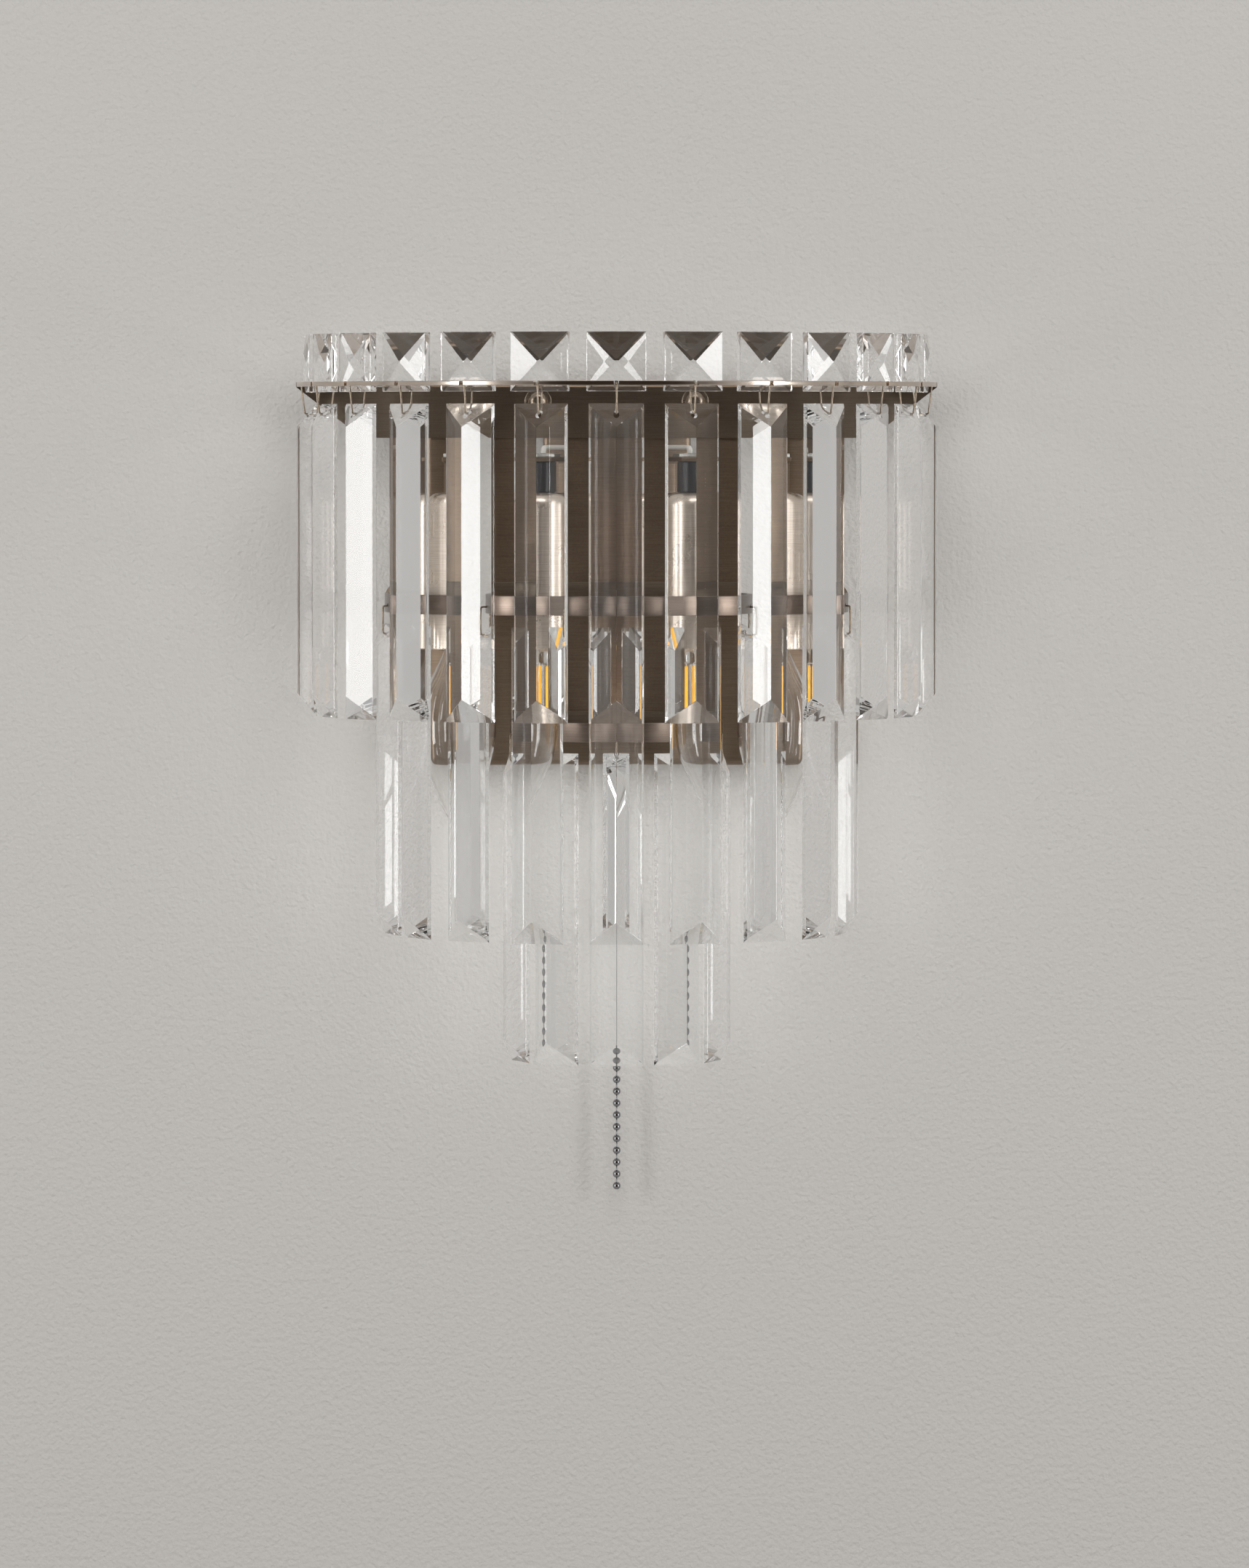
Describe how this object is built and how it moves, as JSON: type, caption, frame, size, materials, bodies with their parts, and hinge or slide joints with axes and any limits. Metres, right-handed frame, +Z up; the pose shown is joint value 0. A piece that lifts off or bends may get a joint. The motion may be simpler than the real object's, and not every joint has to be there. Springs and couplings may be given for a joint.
{
  "type": "crystal wall sconce",
  "caption": "Half-round tiered wall light hung with long glass prisms and edged with square crystals, with downward candle lamps and a bead pull chain.",
  "frame": {"origin": "on the wall plane, at the centre of the bracket's cable hole, midway between the two studs", "axes": "+X to the right as one faces the light, +Y into the wall, +Z up"},
  "size_m": [0.31, 0.1795, 0.415],
  "materials": {
    "brushed_bronze": "fine horizontal brushing, champagne bronze plate",
    "polished_bronze": "polished, reflects the room",
    "satin_bronze": "satin bronze plate",
    "zinc_steel": "zinc-plated steel",
    "dark_nut": "dark bronze plated fastener",
    "black_metal": "black satin paint",
    "white_socket": "moulded holder",
    "black_plastic": "moulded switch case",
    "white_plastic": "moulded terminal block",
    "lead_sheath": "sheathed lead",
    "black_rubber": "soft grommet",
    "polished_brass": "polished brass",
    "hook_wire": "bright drawn wire",
    "chain_metal": "dark polished ball chain",
    "crystal_glass": "clear faceted crystal",
    "bulb_cap_brass": "threaded lamp cap",
    "bulb_glass": "thin clear blown glass",
    "filament": "yellow phosphor-coated filaments"
  },
  "bodies": {
    "fixture": {"backplate_pan": "brushed_bronze", "wall_bracket": "zinc_steel", "bracket_studs": "zinc_steel", "cap_nuts": "dark_nut", "top_tier_plate": "polished_bronze", "top_tier_flange": "satin_bronze", "square_crystals": "crystal_glass", "mid_tier_band": "polished_bronze", "mid_tier_strip": "satin_bronze", "low_tier_band": "polished_bronze", "low_tier_strip": "satin_bronze", "pan_screws": "dark_nut", "wire_loops": "hook_wire", "lamp_arms": "brushed_bronze", "lamp_necks": "black_metal", "lamp_nipples": "zinc_steel", "arm_ring_nuts": "zinc_steel", "lamp_cups": "brushed_bronze", "lamp_sockets": "white_socket", "switch_body": "black_plastic", "switch_bell": "polished_brass", "terminal_block": "white_plastic", "lamp_leads": "lead_sheath", "lead_grommets": "black_rubber"},
    "top_prism_01": {"top_prism_01": "crystal_glass"},
    "top_prism_02": {"top_prism_02": "crystal_glass"},
    "top_prism_03": {"top_prism_03": "crystal_glass"},
    "top_prism_04": {"top_prism_04": "crystal_glass"},
    "top_prism_05": {"top_prism_05": "crystal_glass"},
    "top_prism_06": {"top_prism_06": "crystal_glass"},
    "top_prism_07": {"top_prism_07": "crystal_glass"},
    "top_prism_08": {"top_prism_08": "crystal_glass"},
    "top_prism_09": {"top_prism_09": "crystal_glass"},
    "top_prism_10": {"top_prism_10": "crystal_glass"},
    "top_prism_11": {"top_prism_11": "crystal_glass"},
    "top_prism_12": {"top_prism_12": "crystal_glass"},
    "top_prism_13": {"top_prism_13": "crystal_glass"},
    "mid_prism_01": {"mid_prism_01": "crystal_glass"},
    "mid_prism_02": {"mid_prism_02": "crystal_glass"},
    "mid_prism_03": {"mid_prism_03": "crystal_glass"},
    "mid_prism_04": {"mid_prism_04": "crystal_glass"},
    "mid_prism_05": {"mid_prism_05": "crystal_glass"},
    "mid_prism_06": {"mid_prism_06": "crystal_glass"},
    "mid_prism_07": {"mid_prism_07": "crystal_glass"},
    "mid_prism_08": {"mid_prism_08": "crystal_glass"},
    "mid_prism_09": {"mid_prism_09": "crystal_glass"},
    "low_prism_01": {"low_prism_01": "crystal_glass"},
    "low_prism_02": {"low_prism_02": "crystal_glass"},
    "low_prism_03": {"low_prism_03": "crystal_glass"},
    "low_prism_04": {"low_prism_04": "crystal_glass"},
    "low_prism_05": {"low_prism_05": "crystal_glass"},
    "bulb_left": {"bulb_cap_left": "bulb_cap_brass", "bulb_glass_left": "bulb_glass", "bulb_filaments_left": "filament"},
    "bulb_right": {"bulb_cap_right": "bulb_cap_brass", "bulb_glass_right": "bulb_glass", "bulb_filaments_right": "filament"},
    "switch_plunger": {"switch_plunger": "polished_brass"},
    "pull_chain": {"chain_beads": "chain_metal", "chain_links": "chain_metal"}
  },
  "joints": [
    {"name": "top_prism_01_swing", "type": "hinge", "parent": "fixture", "child": "top_prism_01", "pos_m": [-0.14719, -0.03997, -0.0062], "axis": [-0.9945, -0.1045, 0], "range_deg": [-3, 3]},
    {"name": "top_prism_02_swing", "type": "hinge", "parent": "fixture", "child": "top_prism_02", "pos_m": [-0.13907, -0.07512, -0.0062], "axis": [-0.9397, -0.342, 0], "range_deg": [-3, 3]},
    {"name": "top_prism_03_swing", "type": "hinge", "parent": "fixture", "child": "top_prism_03", "pos_m": [-0.1227, -0.10726, -0.0062], "axis": [-0.829, -0.5592, 0], "range_deg": [-3, 3]},
    {"name": "top_prism_04_swing", "type": "hinge", "parent": "fixture", "child": "top_prism_04", "pos_m": [-0.09903, -0.13449, -0.0062], "axis": [-0.6691, -0.7431, 0], "range_deg": [-3, 3]},
    {"name": "top_prism_05_swing", "type": "hinge", "parent": "fixture", "child": "top_prism_05", "pos_m": [-0.06948, -0.15518, -0.0062], "axis": [-0.4695, -0.8829, 0], "range_deg": [-3, 3]},
    {"name": "top_prism_06_swing", "type": "hinge", "parent": "fixture", "child": "top_prism_06", "pos_m": [-0.0358, -0.1681, -0.0062], "axis": [-0.2419, -0.9703, 0], "range_deg": [-3, 3]},
    {"name": "top_prism_07_swing", "type": "hinge", "parent": "fixture", "child": "top_prism_07", "pos_m": [0, -0.1725, -0.0062], "axis": [0, -1, 0], "range_deg": [-3, 3]},
    {"name": "top_prism_08_swing", "type": "hinge", "parent": "fixture", "child": "top_prism_08", "pos_m": [0.0358, -0.1681, -0.0062], "axis": [0.2419, -0.9703, 0], "range_deg": [-3, 3]},
    {"name": "top_prism_09_swing", "type": "hinge", "parent": "fixture", "child": "top_prism_09", "pos_m": [0.06948, -0.15518, -0.0062], "axis": [0.4695, -0.8829, 0], "range_deg": [-3, 3]},
    {"name": "top_prism_10_swing", "type": "hinge", "parent": "fixture", "child": "top_prism_10", "pos_m": [0.09903, -0.13449, -0.0062], "axis": [0.6691, -0.7431, 0], "range_deg": [-3, 3]},
    {"name": "top_prism_11_swing", "type": "hinge", "parent": "fixture", "child": "top_prism_11", "pos_m": [0.1227, -0.10726, -0.0062], "axis": [0.829, -0.5592, 0], "range_deg": [-3, 3]},
    {"name": "top_prism_12_swing", "type": "hinge", "parent": "fixture", "child": "top_prism_12", "pos_m": [0.13907, -0.07512, -0.0062], "axis": [0.9397, -0.342, 0], "range_deg": [-3, 3]},
    {"name": "top_prism_13_swing", "type": "hinge", "parent": "fixture", "child": "top_prism_13", "pos_m": [0.14719, -0.03997, -0.0062], "axis": [0.9945, -0.1045, 0], "range_deg": [-3, 3]},
    {"name": "mid_prism_01_swing", "type": "hinge", "parent": "fixture", "child": "mid_prism_01", "pos_m": [-0.10956, -0.04382, -0.11185], "axis": [-0.9848, -0.1736, 0], "range_deg": [-4, 4]},
    {"name": "mid_prism_02_swing", "type": "hinge", "parent": "fixture", "child": "mid_prism_02", "pos_m": [-0.09635, -0.08013, -0.11185], "axis": [-0.866, -0.5, 0], "range_deg": [-4, 4]},
    {"name": "mid_prism_03_swing", "type": "hinge", "parent": "fixture", "child": "mid_prism_03", "pos_m": [-0.07151, -0.10972, -0.11185], "axis": [-0.6428, -0.766, 0], "range_deg": [-4, 4]},
    {"name": "mid_prism_04_swing", "type": "hinge", "parent": "fixture", "child": "mid_prism_04", "pos_m": [-0.03805, -0.12904, -0.11185], "axis": [-0.342, -0.9397, 0], "range_deg": [-4, 4]},
    {"name": "mid_prism_05_swing", "type": "hinge", "parent": "fixture", "child": "mid_prism_05", "pos_m": [0, -0.13575, -0.11185], "axis": [0, -1, 0], "range_deg": [-4, 4]},
    {"name": "mid_prism_06_swing", "type": "hinge", "parent": "fixture", "child": "mid_prism_06", "pos_m": [0.03805, -0.12904, -0.11185], "axis": [0.342, -0.9397, 0], "range_deg": [-4, 4]},
    {"name": "mid_prism_07_swing", "type": "hinge", "parent": "fixture", "child": "mid_prism_07", "pos_m": [0.07151, -0.10972, -0.11185], "axis": [0.6428, -0.766, 0], "range_deg": [-4, 4]},
    {"name": "mid_prism_08_swing", "type": "hinge", "parent": "fixture", "child": "mid_prism_08", "pos_m": [0.09635, -0.08013, -0.11185], "axis": [0.866, -0.5, 0], "range_deg": [-4, 4]},
    {"name": "mid_prism_09_swing", "type": "hinge", "parent": "fixture", "child": "mid_prism_09", "pos_m": [0.10956, -0.04382, -0.11185], "axis": [0.9848, -0.1736, 0], "range_deg": [-4, 4]},
    {"name": "low_prism_01_swing", "type": "hinge", "parent": "fixture", "child": "low_prism_01", "pos_m": [-0.04827, -0.04018, -0.17345], "axis": [-0.9511, -0.309, 0], "range_deg": [-1.5, 1.5]},
    {"name": "low_prism_02_swing", "type": "hinge", "parent": "fixture", "child": "low_prism_02", "pos_m": [-0.02983, -0.06556, -0.17345], "axis": [-0.5878, -0.809, 0], "range_deg": [-1.5, 1.5]},
    {"name": "low_prism_03_swing", "type": "hinge", "parent": "fixture", "child": "low_prism_03", "pos_m": [0, -0.07525, -0.17345], "axis": [0, -1, 0], "range_deg": [-1.5, 1.5]},
    {"name": "low_prism_04_swing", "type": "hinge", "parent": "fixture", "child": "low_prism_04", "pos_m": [0.02983, -0.06556, -0.17345], "axis": [0.5878, -0.809, 0], "range_deg": [-1.5, 1.5]},
    {"name": "low_prism_05_swing", "type": "hinge", "parent": "fixture", "child": "low_prism_05", "pos_m": [0.04827, -0.04018, -0.17345], "axis": [0.9511, -0.309, 0], "range_deg": [-1.5, 1.5]},
    {"name": "bulb_left_unscrew", "type": "hinge", "parent": "fixture", "child": "bulb_left", "pos_m": [-0.0765, -0.06, -0.12], "axis": [0, 0, -1], "range_deg": [0, 1080]},
    {"name": "bulb_right_unscrew", "type": "hinge", "parent": "fixture", "child": "bulb_right", "pos_m": [0.0765, -0.06, -0.12], "axis": [0, 0, -1], "range_deg": [0, 1080]},
    {"name": "switch_pull", "type": "slide", "parent": "fixture", "child": "switch_plunger", "axis": [0, 0, -1], "range_m": [0, 0.01], "stiffness_N_per_m": 200, "springref_m": -0.002},
    {"name": "chain_swing", "type": "hinge", "parent": "switch_plunger", "child": "pull_chain", "pos_m": [0, -0.011, -0.187], "axis": [1, 0, 0], "range_deg": [-22, 2.5]}
  ]
}
